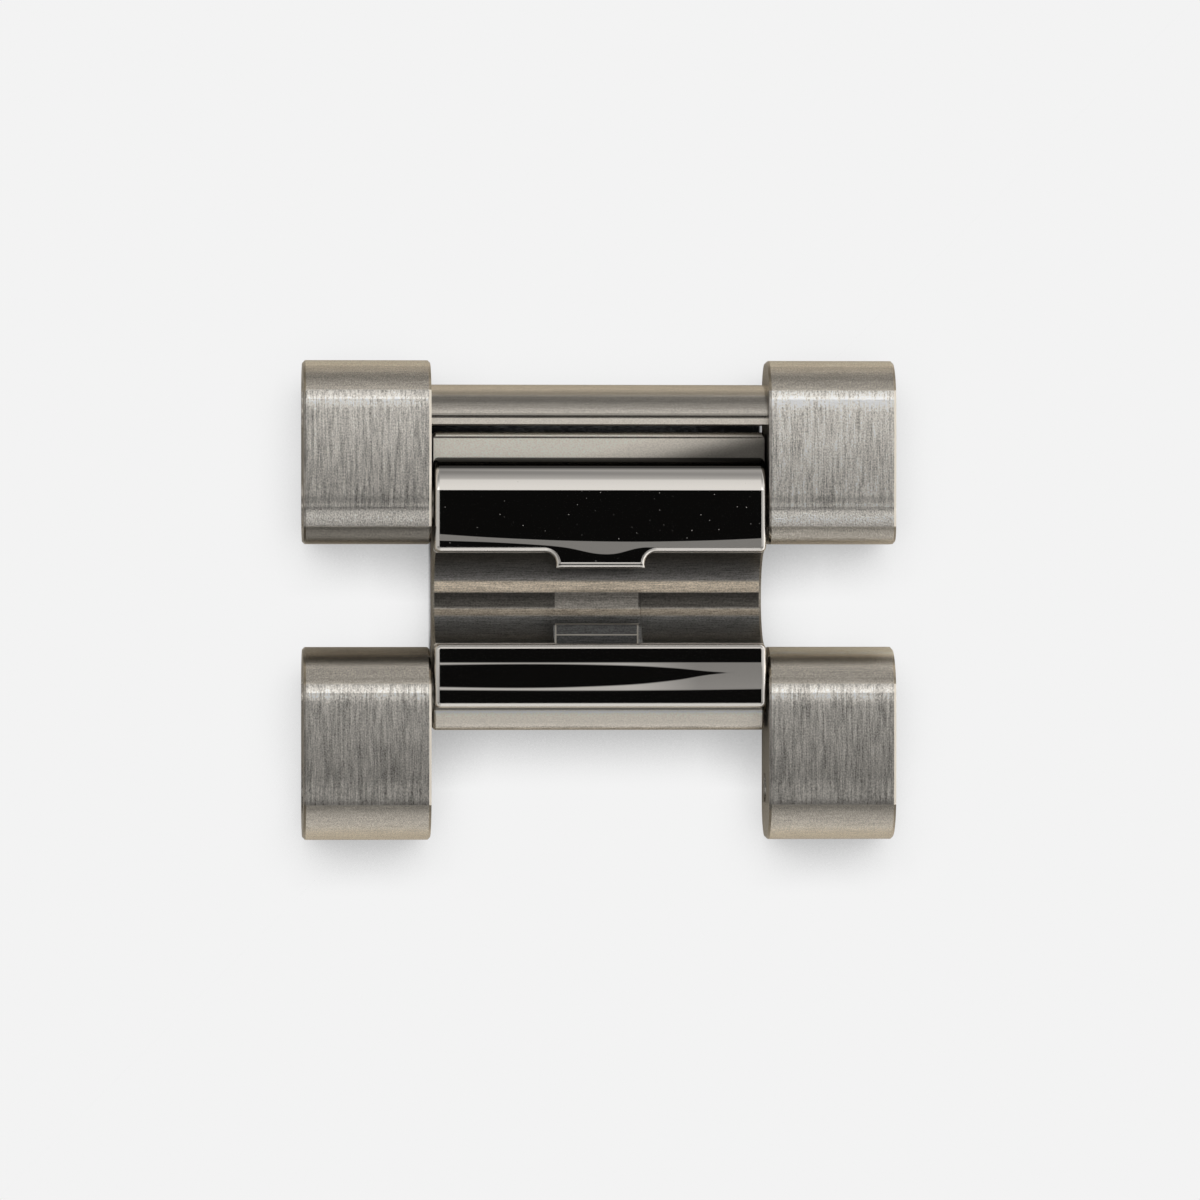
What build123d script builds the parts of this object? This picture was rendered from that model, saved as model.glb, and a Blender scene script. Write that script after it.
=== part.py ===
from build123d import *

import os

# A section of a steel watch bracelet, lying flat with its polished side up, in millimetres.
# X runs across the bracelet, Y along it and Z up to the polished side.
# The origin is on the underside, in the middle of the section.

# The whole section
bracelet_width = 20.0
outer_link_width = 4.3
side_play = 0.1
pin_pitch = 3.22
seat_axis_y = 0.07
pin_height = 1.35

# Outer links, measured from the pin axes to their rounded ends
outer_link_height = 3.25
crown_rise = 0.12
upper_link_free_reach = 1.59
upper_link_hinge_reach = 1.4
lower_link_hinge_reach = 1.56
lower_link_free_reach = 1.73
nose_radius = 1.4
lower_hinge_nose_radius = 1.6
heel_radius = 1.2
outer_bevel = 0.08
crease_offset = 0.19
crease_drop = 0.05
roll_rise = 0.025
roll_drop = 0.1
rolled_nose_radius = 0.6

# Screws, their bores in the outer links, and the threads they hold in
screw_shank_radius = 0.45
screw_head_radius = 0.8
screw_head_height = 0.5
screw_head_recess = 0.05
screw_slot_width = 0.2
screw_slot_depth = 0.2
screw_edge_break = 0.06
thread_length = 1.6
thread_clearance = 0.02
bore_clearance = 0.05
head_clearance = 0.05
thread_runout = 0.3

# Hinge tubes, which turn in the centre link
tube_radius = 0.75
tube_running_clearance = 0.03
tube_edge_break = 0.08

# Centre link: a satin body with a round brushed seat across it
knuckle_wall = 0.25
upper_ledge_reach = 2.38
lower_ledge_reach = 1.24
body_heel_radius = 0.9
upper_ledge_bevel = 0.1
ledge_lip_width = 0.15
ledge_groove_width = 0.06
ledge_groove_depth = 0.16
lower_ledge_round = 0.3
body_side_bevel = 0.08
seat_radius = 1.54
seat_axis_rise = 0.2
relief_depth = 0.1
relief_start = 0.25
pocket_near = 0.9
pocket_far = 1.54
pocket_depth = 1.3
pocket_corner_radius = 0.08

# Polished bars, seated on the centre link's body
bar_thickness = 0.85
bar_edge_radius = 0.17
bar_corner_radius = 0.2
upper_bar_flat = 2.09
upper_bar_shoulder = 1.11
lower_bar_length = 2.16
lower_bar_crown = 0.03
tab_width = 3.0
tab_length = 0.54
tab_shoulder_radius = 0.38

# Dowels that locate the polished bars
dowel_radius = 0.2
dowel_clearance = 0.01
dowel_sink = 0.6
dowel_rise = 0.4
dowel_end_gap = 0.03
dowel_inset = 0.45
dowel_side_distance = 2.0

# Cross bar between the upper outer links
cross_bar_radius = 1.27
cross_bar_mid_height = 1.5
cross_bar_nose_reach = 0.78
cross_bar_back_reach = 0.58
cross_bar_ridge_width = 0.2
cross_bar_ridge_drop = 0.04
cross_bar_groove_width = 0.1
cross_bar_groove_depth = 0.25
cross_bar_heel_break = 0.1

# Places that follow from the sizes above
centre_width = bracelet_width - 2 * (outer_link_width + side_play)
inner_face_x = centre_width / 2 + side_play
outer_face_x = bracelet_width / 2
cross_bar_pin_y = seat_axis_y + 2 * pin_pitch
upper_hinge_y = seat_axis_y + pin_pitch
lower_hinge_y = seat_axis_y - pin_pitch
free_pin_y = seat_axis_y - 2 * pin_pitch
upper_bar_face_y = seat_axis_y + seat_radius
lower_bar_face_y = seat_axis_y - seat_radius
body_height = pin_height + tube_radius + knuckle_wall
seat_axis_height = body_height + seat_axis_rise
bar_top = body_height + bar_thickness
dowel_spacing = centre_width - 2 * dowel_side_distance
screw_bore_radius = screw_shank_radius + bore_clearance
head_bore_radius = screw_head_radius + head_clearance
head_bore_depth = screw_head_height + screw_head_recess
thread_bore_radius = screw_shank_radius + thread_clearance
sides = {"left": -1, "right": 1}


def save(builder, name):
    builder.part.label = name
    export_step(builder.part, f"parts/{name}.step")


def crown_line(low_y, high_y, creased):
    """Draws the top of an outer link from its high end to its low end."""
    shoulder = outer_link_height - crown_rise
    top = ((low_y + high_y) / 2, outer_link_height)
    if not creased:
        ThreePointArc((high_y, shoulder), top, (low_y, shoulder))
        return (low_y, shoulder)
    crease = (upper_hinge_y - crease_offset, outer_link_height - crease_drop)
    low_end = (low_y, outer_link_height - roll_drop)
    roll_middle = ((crease[0] + low_end[0]) / 2, (crease[1] + low_end[1]) / 2 + roll_rise)
    ThreePointArc((high_y, shoulder), top, crease)
    ThreePointArc(crease, roll_middle, low_end)
    return low_end


def make_outer_link(name, side, ends, radii, pin_ys, creased):
    """A brushed outer link with round noses, a bevel round each side and two screw bores."""
    low_y, high_y = ends
    low_radius, high_radius = radii
    left_x = min(side * inner_face_x, side * outer_face_x)
    with BuildPart() as link:
        with BuildSketch(Plane.YZ.offset(left_x)) as profile:
            with BuildLine():
                low_end = crown_line(low_y, high_y, creased)
                Line(low_end, (low_y, 0))
                Line((low_y, 0), (high_y, 0))
                Line((high_y, 0), (high_y, outer_link_height - crown_rise))
            make_face()
            fillet(profile.vertices().sort_by_distance(low_end)[0], low_radius)
            high_end = (high_y, outer_link_height - crown_rise)
            fillet(profile.vertices().sort_by_distance(high_end)[0], high_radius)
            fillet(profile.vertices().group_by(Axis.Y)[0], heel_radius)
        extrude(amount=outer_link_width)
        chamfer(link.faces().filter_by(Axis.X).edges(), outer_bevel)
        with BuildSketch(Plane.YZ.offset(left_x)):
            with Locations(*[(y, pin_height) for y in pin_ys]):
                Circle(screw_bore_radius)
        extrude(amount=outer_link_width, mode=Mode.SUBTRACT)
        with BuildSketch(Plane.YZ.offset(side * outer_face_x)):
            with Locations(*[(y, pin_height) for y in pin_ys]):
                Circle(head_bore_radius)
        extrude(amount=-side * head_bore_depth, mode=Mode.SUBTRACT)
    save(link, name)


def make_screw(name, side, pin_y):
    """A slotted screw that runs in from an outer link's outer face."""
    seat_x = outer_face_x - head_bore_depth
    shank_length = seat_x - inner_face_x + thread_length
    with BuildPart() as screw:
        with BuildSketch(Plane.YZ.offset(side * seat_x)):
            with Locations((pin_y, pin_height)):
                Circle(screw_head_radius)
        extrude(amount=side * screw_head_height)
        with BuildSketch(Plane.YZ.offset(side * seat_x)):
            with Locations((pin_y, pin_height)):
                Circle(screw_shank_radius)
        extrude(amount=-side * shank_length)
        ends = screw.faces().filter_by(Axis.X).sort_by(Axis.X)
        chamfer(ShapeList([ends[0], ends[-1]]).edges(), screw_edge_break)
        with BuildSketch(Plane.YZ.offset(side * (seat_x + screw_head_height))):
            with Locations((pin_y, pin_height)):
                Rectangle(2 * head_bore_radius, screw_slot_width)
        extrude(amount=-side * screw_slot_depth, mode=Mode.SUBTRACT)
    save(screw, name)


def make_hinge_tube(name, pin_y):
    """A tube that spans the outer links' inner faces and takes a screw at each end."""
    with BuildPart() as tube:
        with BuildSketch(Plane.YZ.offset(-inner_face_x)):
            with Locations((pin_y, pin_height)):
                Circle(tube_radius)
        extrude(amount=2 * inner_face_x)
        chamfer(tube.faces().filter_by(Axis.X).edges(), tube_edge_break)
        with BuildSketch(Plane.YZ.offset(-inner_face_x)):
            with Locations((pin_y, pin_height)):
                Circle(thread_bore_radius)
        extrude(amount=2 * inner_face_x, mode=Mode.SUBTRACT)
    save(tube, name)


def make_cross_bar(name):
    """A half round bar with a grooved ridge along its top and a blind thread in each end."""
    back_y = cross_bar_pin_y - cross_bar_back_reach
    tip_y = cross_bar_pin_y + cross_bar_nose_reach
    axis_y = tip_y - cross_bar_radius
    ridge_z = cross_bar_mid_height + cross_bar_radius - cross_bar_ridge_drop
    ridge_y = back_y + cross_bar_ridge_width
    groove_y = ridge_y + cross_bar_groove_width
    arc_rise = (cross_bar_radius**2 - (groove_y - axis_y) ** 2) ** 0.5
    heel_y = back_y + cross_bar_heel_break
    heel_drop = (cross_bar_radius**2 - (heel_y - axis_y) ** 2) ** 0.5
    with BuildPart() as bar:
        with BuildSketch(Plane.YZ.offset(-inner_face_x)):
            with BuildLine():
                Polyline(
                    (heel_y, cross_bar_mid_height - heel_drop),
                    (back_y, cross_bar_mid_height - heel_drop + cross_bar_heel_break),
                    (back_y, ridge_z),
                    (ridge_y, ridge_z),
                    (ridge_y, ridge_z - cross_bar_groove_depth),
                    (groove_y, ridge_z - cross_bar_groove_depth),
                    (groove_y, cross_bar_mid_height + arc_rise),
                )
                ThreePointArc(
                    (groove_y, cross_bar_mid_height + arc_rise),
                    (tip_y, cross_bar_mid_height),
                    (heel_y, cross_bar_mid_height - heel_drop),
                )
            make_face()
        extrude(amount=2 * inner_face_x)
        for side in sides.values():
            with BuildSketch(Plane.YZ.offset(side * inner_face_x)):
                with Locations((cross_bar_pin_y, pin_height)):
                    Circle(thread_bore_radius)
            extrude(amount=-side * (thread_length + thread_runout), mode=Mode.SUBTRACT)
    save(bar, name)


def dowel_sketch(radius, y):
    """The two dowel places of one polished bar, as circles of this radius."""
    with Locations((0, y)):
        with GridLocations(dowel_spacing, 0, 2, 1):
            Circle(radius)


def make_centre_link_body(name, upper_dowel_y, lower_dowel_y):
    """The satin body: two bored knuckles, with a round seat milled across between them."""
    low_y = lower_hinge_y - lower_ledge_reach
    high_y = upper_hinge_y + upper_ledge_reach
    with BuildPart() as body:
        with BuildSketch(Plane.YZ.offset(-centre_width / 2)) as profile:
            with Locations(((low_y + high_y) / 2, body_height / 2)):
                Rectangle(high_y - low_y, body_height)
            fillet(profile.vertices().group_by(Axis.Y)[0], body_heel_radius)
            top_corners = profile.vertices().group_by(Axis.Y)[-1].sort_by(Axis.X)
            fillet(top_corners[0], lower_ledge_round)
            top_corners = profile.vertices().group_by(Axis.Y)[-1].sort_by(Axis.X)
            chamfer(top_corners[-1], upper_ledge_bevel)
            with Locations((seat_axis_y, seat_axis_height)):
                Circle(seat_radius, mode=Mode.SUBTRACT)
        extrude(amount=centre_width)
        side_edges = body.faces().filter_by(Axis.X).edges().group_by(Axis.Z)[:-1]
        chamfer([edge for group in side_edges for edge in group], body_side_bevel)
        with BuildSketch(Plane.YZ.offset(-centre_width / 2)):
            with Locations((high_y - ledge_lip_width - ledge_groove_width / 2, body_height)):
                Rectangle(ledge_groove_width, 2 * ledge_groove_depth)
        extrude(amount=centre_width, mode=Mode.SUBTRACT)
        with BuildSketch(Plane.YZ.offset(-centre_width / 2)):
            with Locations((upper_hinge_y, pin_height), (lower_hinge_y, pin_height)):
                Circle(tube_radius + tube_running_clearance)
        extrude(amount=centre_width, mode=Mode.SUBTRACT)
        with BuildSketch(Plane.YZ.offset(-tab_width / 2)):
            with Locations((seat_axis_y, seat_axis_height)):
                Circle(seat_radius + relief_depth)
            relief_end = seat_axis_y - seat_radius + relief_depth
            relief_high = seat_axis_y + relief_start
            with Locations(((relief_end + relief_high) / 2, body_height / 2)):
                Rectangle(relief_high - relief_end, body_height, mode=Mode.INTERSECT)
        extrude(amount=tab_width, mode=Mode.SUBTRACT)
        with BuildSketch(Plane.XY.offset(body_height)) as pocket:
            with Locations((0, seat_axis_y - (pocket_near + pocket_far) / 2)):
                Rectangle(tab_width, pocket_far - pocket_near)
            fillet(pocket.vertices(), pocket_corner_radius)
        extrude(amount=-pocket_depth, mode=Mode.SUBTRACT)
        with BuildSketch(Plane.XY.offset(body_height)):
            dowel_sketch(dowel_radius + dowel_clearance, upper_dowel_y)
            dowel_sketch(dowel_radius + dowel_clearance, lower_dowel_y)
        extrude(amount=-dowel_sink, mode=Mode.SUBTRACT)
    save(body, name)


def make_upper_bar(name, dowel_y):
    """The upper polished bar: a rounded shoulder, a flat, and a tab over the seat."""
    shoulder_y = upper_bar_face_y + upper_bar_flat
    end_y = shoulder_y + upper_bar_shoulder
    tab_end_y = upper_bar_face_y - tab_length
    with BuildPart() as bar:
        with BuildSketch(Plane.XY.offset(body_height)) as plan:
            with Locations((0, (upper_bar_face_y + end_y) / 2)):
                Rectangle(centre_width, end_y - upper_bar_face_y)
            with Locations((0, (tab_end_y + upper_bar_face_y) / 2)):
                Rectangle(tab_width, tab_length)
            for side in sides.values():
                root = (side * tab_width / 2, upper_bar_face_y)
                fillet(plan.vertices().sort_by_distance(root)[0], tab_shoulder_radius)
                corner = (side * centre_width / 2, upper_bar_face_y)
                fillet(plan.vertices().sort_by_distance(corner)[0], bar_corner_radius)
        extrude(amount=bar_thickness)
        with BuildSketch(Plane.YZ.offset(-centre_width / 2)):
            with BuildLine():
                Line((shoulder_y, bar_top), (tab_end_y, bar_top))
                Line((tab_end_y, bar_top), (tab_end_y, body_height))
                Line((tab_end_y, body_height), (end_y, body_height))
                TangentArc((shoulder_y, bar_top), (end_y, body_height), tangent=(1, 0))
            make_face()
        extrude(amount=centre_width, mode=Mode.INTERSECT)
        shoulder_line = bar.edges().filter_by(Axis.X).sort_by_distance((0, shoulder_y, bar_top))[0]
        rim = bar.faces().sort_by(Axis.Z)[-1].edges() - ShapeList([shoulder_line])
        shoulder_face = bar.faces().filter_by(GeomType.CYLINDER).sort_by(Axis.Y)[-1]
        rim = rim + (shoulder_face.edges() - shoulder_face.edges().filter_by(Axis.X))
        fillet(rim, bar_edge_radius)
        with BuildSketch(Plane.XY.offset(body_height)):
            dowel_sketch(dowel_radius + dowel_clearance, dowel_y)
        extrude(amount=dowel_rise, mode=Mode.SUBTRACT)
    save(bar, name)


def make_lower_bar(name, dowel_y):
    """The lower polished bar, faintly crowned, with rounded edges."""
    low_y = lower_bar_face_y - lower_bar_length
    mid_y = (low_y + lower_bar_face_y) / 2
    with BuildPart() as bar:
        with BuildSketch(Plane.XY.offset(body_height)) as plan:
            with Locations((0, mid_y)):
                RectangleRounded(centre_width, lower_bar_length, bar_corner_radius)
        extrude(amount=bar_thickness)
        with BuildSketch(Plane.YZ.offset(-centre_width / 2)):
            with BuildLine():
                Polyline(
                    (low_y, bar_top - lower_bar_crown),
                    (low_y, body_height),
                    (lower_bar_face_y, body_height),
                    (lower_bar_face_y, bar_top - lower_bar_crown),
                )
                ThreePointArc(
                    (lower_bar_face_y, bar_top - lower_bar_crown),
                    (mid_y, bar_top),
                    (low_y, bar_top - lower_bar_crown),
                )
            make_face()
        extrude(amount=centre_width, mode=Mode.INTERSECT)
        fillet(bar.faces().sort_by(Axis.Z)[-1].edges(), bar_edge_radius)
        with BuildSketch(Plane.XY.offset(body_height)):
            dowel_sketch(dowel_radius + dowel_clearance, dowel_y)
        extrude(amount=dowel_rise, mode=Mode.SUBTRACT)
    save(bar, name)


def make_dowel(name, side, y):
    """A plain dowel, half in the body and half in its polished bar."""
    with BuildPart() as dowel:
        with BuildSketch(Plane.XY.offset(body_height - dowel_sink + dowel_end_gap)):
            with Locations((side * dowel_spacing / 2, y)):
                Circle(dowel_radius)
        extrude(amount=dowel_sink + dowel_rise - 2 * dowel_end_gap)
    save(dowel, name)


os.makedirs("parts", exist_ok=True)

# Centre link
upper_dowel_y = upper_bar_face_y + dowel_inset
lower_dowel_y = lower_bar_face_y - dowel_inset
make_centre_link_body("centre_link_body", upper_dowel_y, lower_dowel_y)
make_upper_bar("upper_polished_bar", upper_dowel_y)
make_lower_bar("lower_polished_bar", lower_dowel_y)

# Rows of outer links, with what clamps them together
make_cross_bar("upper_cross_bar")
make_hinge_tube("upper_hinge_tube", upper_hinge_y)
make_hinge_tube("lower_hinge_tube", lower_hinge_y)
upper_ends = (upper_hinge_y - upper_link_hinge_reach, cross_bar_pin_y + upper_link_free_reach)
lower_ends = (free_pin_y - lower_link_free_reach, lower_hinge_y + lower_link_hinge_reach)
upper_radii = (rolled_nose_radius, nose_radius)
lower_radii = (nose_radius, lower_hinge_nose_radius)
upper_pins = [cross_bar_pin_y, upper_hinge_y]
lower_pins = [lower_hinge_y, free_pin_y]
for hand, side in sides.items():
    upper_name = f"upper_{hand}_outer_link"
    lower_name = f"lower_{hand}_outer_link"
    make_outer_link(upper_name, side, upper_ends, upper_radii, upper_pins, creased=True)
    make_outer_link(lower_name, side, lower_ends, lower_radii, lower_pins, creased=False)
    make_screw(f"cross_bar_screw_{hand}", side, cross_bar_pin_y)
    make_screw(f"upper_hinge_screw_{hand}", side, upper_hinge_y)
    make_screw(f"lower_hinge_screw_{hand}", side, lower_hinge_y)
    make_dowel(f"upper_bar_dowel_{hand}", side, upper_dowel_y)
    make_dowel(f"lower_bar_dowel_{hand}", side, lower_dowel_y)
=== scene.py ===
# %% [markdown]
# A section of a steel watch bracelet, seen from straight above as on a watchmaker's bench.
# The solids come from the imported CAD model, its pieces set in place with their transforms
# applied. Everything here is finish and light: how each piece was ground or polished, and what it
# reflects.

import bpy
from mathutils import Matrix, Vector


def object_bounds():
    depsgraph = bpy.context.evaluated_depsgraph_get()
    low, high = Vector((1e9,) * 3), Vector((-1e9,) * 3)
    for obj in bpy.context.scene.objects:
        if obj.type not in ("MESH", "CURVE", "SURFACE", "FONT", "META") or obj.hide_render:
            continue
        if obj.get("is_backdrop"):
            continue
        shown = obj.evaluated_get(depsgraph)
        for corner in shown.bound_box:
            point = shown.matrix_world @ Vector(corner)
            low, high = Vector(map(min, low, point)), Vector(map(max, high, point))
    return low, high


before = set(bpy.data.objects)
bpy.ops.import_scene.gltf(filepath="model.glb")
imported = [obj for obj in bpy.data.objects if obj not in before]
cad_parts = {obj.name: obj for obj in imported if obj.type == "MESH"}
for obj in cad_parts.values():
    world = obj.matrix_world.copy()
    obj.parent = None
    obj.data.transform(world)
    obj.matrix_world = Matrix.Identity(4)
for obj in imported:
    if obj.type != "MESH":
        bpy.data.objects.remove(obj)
print("Pieces:", len(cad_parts))

# %% [markdown]
# The scene is brought up to date before anything is added to it.

# %% Imports, and the scene brought up to date
import math

import bpy
from mathutils import Vector

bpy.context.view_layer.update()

# %% [markdown]
# Blender works in metres, but a bracelet link is a thing of millimetres, so lengths are written
# in millimetres and multiplied. Colours are written as the hex values that a paint program shows,
# and one function turns them to the linear values that light is computed in.

# %% Units and colours
mm = 0.001


def linear(hex_colour):
    """A hex colour as linear red, green, blue and an alpha of 1."""
    shares = [int(hex_colour[i : i + 2], 16) / 255 for i in (1, 3, 5)]
    return [c / 12.92 if c <= 0.04045 else ((c + 0.055) / 1.055) ** 2.4 for c in shares] + [1.0]


def grey(level):
    """A neutral light of this strength, as a colour."""
    return [level, level, level, 1.0]


surround_colour = linear("#f3f3f3")
print("The pale surround as linear light:", [round(v, 3) for v in surround_colour[:3]])

# %% [markdown]
# The sky and every finish are node trees. They could be drawn by hand in the node editor, but
# written down they can be read and changed like a recipe. One helper adds a node. Settings go in
# by name, and an input takes a plain value or another node's output, which is then linked. The
# helper gives back the node's first output in use, and .node leads from it to the others.

# %% A helper that adds one node
of_colours = {"data_type": "RGBA"}
multiplied = {"data_type": "RGBA", "blend_type": "MULTIPLY"}
of_vectors = {"data_type": "VECTOR"}


def add(tree, kind, inputs=None, stops=None, **settings):
    """Adds a shader node with its settings and inputs, and a ramp's stops of place and colour."""
    node = tree.nodes.new("ShaderNode" + kind)
    for name, value in settings.items():
        setattr(node, name, value)
    for name, value in (inputs or {}).items():
        if isinstance(value, bpy.types.NodeSocket):
            tree.links.new(value, node.inputs[name])
        else:
            node.inputs[name].default_value = value
    if stops:
        dots = node.color_ramp.elements
        while len(dots) < len(stops):
            dots.new(1.0)
        for dot, (place, colour) in zip(dots, sorted(stops)):
            dot.position = place
            dot.color = colour
    return next((output for output in node.outputs if output.enabled), None)


world = bpy.data.worlds.new("light_tent")
bpy.context.scene.world = world
world.use_nodes = True
sky = world.node_tree
sky.nodes.clear()
look = add(sky, "TexCoord").node.outputs["Generated"]
direction = add(sky, "SeparateXYZ", {"Vector": look}).node.outputs
print("The sky is split by direction into", [output.name for output in direction])

# %% [markdown]
# Polished steel has no colour of its own to speak of: it shows the room. The black flats of the
# polished bars are a dark card right overhead, round the lens, and their bright edges are the
# pale walls of a light tent. The tent could be built of lamps and cards, but then each of them
# would have to be placed by trial. A sky written by the angle from straight up gives the same
# reflections, and each tone stands in one table: a dark card in the middle, a bright slope
# behind it, a duller one in front, and dimmer walls to the sides.

# %% The tones of the light tent, by degrees from straight up
tent_power = 2.0
card_half_width = 5.2
card_blur = 6
wall_start = 40
wall_full = 60
tent_slope = [
    (-90, 1.1), (-66, 1.05), (-44, 1.0), (-20, 0.85), (-15, 0.2), (-9, 0.004), (-3.9, 0.004),
    (-3.7, 0.62), (-3.2, 0.62), (-3.05, 0.24), (-2.1, 0.24), (-1.9, 0.004), (2.3, 0.004),
    (6, 0.004), (8, 0.92), (34, 0.82), (41, 0.5), (50, 0.4), (60, 0.28), (80, 0.18), (87, 0.1),
    (90, 0.4),
]
tent_sides = [
    (-90, 0.7), (-66, 0.62), (-44, 0.5), (-30, 0.36), (-20, 0.18), (-13, 0.12), (-8, 0.3),
    (0, 0.46), (4, 0.58), (7, 0.85), (9, 1.3), (12, 1.6), (16, 0.9), (30, 0.55), (40, 0.36),
    (52, 0.3), (66, 0.38), (90, 0.5),
]
tent_walls = [(-90, 0.5), (-40, 0.5), (40, 0.95), (74, 0.95), (84, 2.0), (90, 2.0)]


def by_angle(tones):
    """Ramp stops for tones from one horizon, at -90 degrees, to the other, at 90."""
    return [((degrees + 90) / 180, grey(tone / tent_power)) for degrees, tone in tones]


print("Brightest tones of the tent:", [max(t for _, t in s) for s in (tent_slope, tent_sides)])

# %% [markdown]
# Two angles place a direction in the tent: along the bracelet and across it. The slope gives way
# to the sides beyond the card, and the sides to the walls. Below the horizon lies the bench, as
# bright as a level sheet of paper that the whole tent lights. The lens alone sees the evenly pale
# surround of the photograph instead.

# %% The light tent as a sky
paper_colour = linear("#eee6d8")
sheet_light = 0.587
along = add(sky, "Math", {0: direction["Y"], 1: direction["Z"]}, operation="ARCTAN2")
across = add(sky, "Math", {0: direction["X"], 1: direction["Z"]}, operation="ARCTAN2")
along_share, across_share = (
    add(sky, "Math", {0: angle, 1: 1 / math.pi, 2: 0.5}, operation="MULTIPLY_ADD")
    for angle in (along, across)
)
tent = add(sky, "ValToRGB", {"Fac": along_share}, stops=by_angle(tent_slope))
sides = add(sky, "ValToRGB", {"Fac": along_share}, stops=by_angle(tent_sides))
walls = add(sky, "ValToRGB", {"Fac": across_share}, stops=by_angle(tent_walls))
off_middle = add(sky, "Math", {0: across}, operation="ABSOLUTE")
card_full = card_half_width + card_blur
for start, full, tone in ((card_half_width, card_full, sides), (wall_start, wall_full, walls)):
    beyond = add(
        sky,
        "MapRange",
        {"Value": off_middle, "From Min": math.radians(start), "From Max": math.radians(full)},
        interpolation_type="SMOOTHSTEP",
    )
    tent = add(sky, "Mix", {"Factor": beyond, "A": tent, "B": tone}, **of_colours)
below = add(sky, "Math", {0: direction["Z"], 1: 0.0}, operation="LESS_THAN")
bench = [c * sheet_light / tent_power for c in paper_colour[:3]] + [1.0]
around = add(sky, "Mix", {"Factor": below, "A": tent, "B": bench}, **of_colours)
tent_light = add(sky, "Background", {"Color": around, "Strength": tent_power})
seen_light = add(sky, "Background", {"Color": surround_colour, "Strength": 1.0})
seen = add(sky, "LightPath").node.outputs["Is Camera Ray"]
sky_light = add(sky, "MixShader", {0: seen, 1: tent_light, 2: seen_light})
add(sky, "OutputWorld", {"Surface": sky_light})
print("Nodes in the sky:", len(sky.nodes))

# %% [markdown]
# A finish often changes at a line: where a grind ends, or where a face turns. A band says where
# such a finish lies. It is 1 between two limits and 0 outside, with edges that can be soft.

# %% Bands
def band(tree, value, low, high, blur):
    """1 where value lies between low and high, and 0 outside, with soft edges this wide."""
    edges = [
        add(
            tree,
            "MapRange",
            {
                "Value": value,
                "From Min": edge - blur / 2,
                "From Max": edge + blur / 2,
                "To Min": before,
                "To Max": after,
            },
            interpolation_type="SMOOTHSTEP",
        )
        for edge, before, after in ((low, 0.0, 1.0), (high, 1.0, 0.0))
    ]
    return add(tree, "Math", {0: edges[0], 1: edges[1]}, operation="MULTIPLY")


far = 9.0
print("Past every place on the section in mm, and past every turn of a face:", far)

# %% [markdown]
# The bench is a plain pale sheet of matt paper, wide enough to fill every view. It lies a hair
# below the links, so that the two never share a plane.

# %% The pale sheet under the links
sheet_size = 2.0
sheet_gap = 0.01 * mm
half = sheet_size / 2
sheet_mesh = bpy.data.meshes.new("pale_sheet")
corners = [(-half, -half, 0), (half, -half, 0), (half, half, 0), (-half, half, 0)]
sheet_mesh.from_pydata(corners, [], [(0, 1, 2, 3)])
pale_sheet = bpy.data.objects.new("pale_sheet", sheet_mesh)
pale_sheet.location.z = -sheet_gap
bpy.context.scene.collection.objects.link(pale_sheet)
pale_sheet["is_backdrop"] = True
print("Sheet in metres:", sheet_size, "and below the links in mm:", round(sheet_gap / mm, 3))

# %% [markdown]
# Under a tent a thing has hardly a cast shadow: the paper darkens where the links hide the sky from
# it, more on the side turned from the brighter slope. Lamps could give that too, but they would
# show in the steel. So the sheet measures how open it is, once towards the brighter slope and once
# straight up, and that shade is painted into the paper that the lens sees. In the black slits
# beside and behind the centre link, a painted shade set by place darkens the paper nearly to black.

# %% How open the paper is
shadow_reach = 2.2 * mm
slit_reach = 3.5 * mm
light_tilt = math.radians(33)
open_rays = 8
shadow_tones = [
    (0.2, 0.4), (0.31, 0.57), (0.4, 0.64), (0.5, 0.77), (0.6, 0.85), (0.7, 0.91), (0.82, 0.98),
    (1.0, 1.0),
]
slit_painted_shade_limits = {"X": (-5.65, 5.65), "Y": (-3.5, 5.98)}
slit_blur = 0.1 * mm
slit_painted_shade = 0.006
closed_share = 0.35
closed_blur = 0.2

sheet_material = bpy.data.materials.new("matt_paper")
sheet_material.use_nodes = True
paper = sheet_material.node_tree
paper.nodes.clear()
openness = []
for tilt, reach in ((light_tilt, shadow_reach), (0.0, slit_reach)):
    towards = add(paper, "CombineXYZ", {"Y": math.sin(tilt), "Z": math.cos(tilt)})
    inputs = {"Normal": towards, "Distance": reach}
    sky_seen = add(paper, "AmbientOcclusion", inputs, samples=open_rays)
    openness.append(sky_seen.node.outputs["AO"])
near_stops = [(share, grey(tone)) for share, tone in shadow_tones]
near_shade = add(paper, "ValToRGB", {"Fac": openness[0]}, stops=near_stops)
# A painted shade, nearly black, where the paper is closed off inside the slits beside and behind
# the centre link.
slit = band(paper, openness[1], -far, closed_share, closed_blur)
sheet_place = add(paper, "TexCoord").node.outputs["Object"]
sheet_spot = add(paper, "SeparateXYZ", {"Vector": sheet_place}).node.outputs
for axis, (low, high) in slit_painted_shade_limits.items():
    within = band(paper, sheet_spot[axis], low * mm, high * mm, slit_blur)
    slit = add(paper, "Math", {0: slit, 1: within}, operation="MULTIPLY")
slit_shade = add(paper, "Mix", {"Factor": slit, "A": 1.0, "B": slit_painted_shade})
shade = add(paper, "Math", {0: near_shade, 1: slit_shade}, operation="MULTIPLY")
print("The shadow reaches in mm:", round(shadow_reach / mm, 2))

# %% [markdown]
# The steel sees the sheet as paper lit by the tent, a little warm, as a bench is. The lens sees
# it as a clear film with that shadow in it, in front of the pale surround, so a row of links that
# folds down past the sheet stays in sight. From behind, the film is clear to every ray, and the
# folded row mirrors the same tent as the rest.

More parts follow.
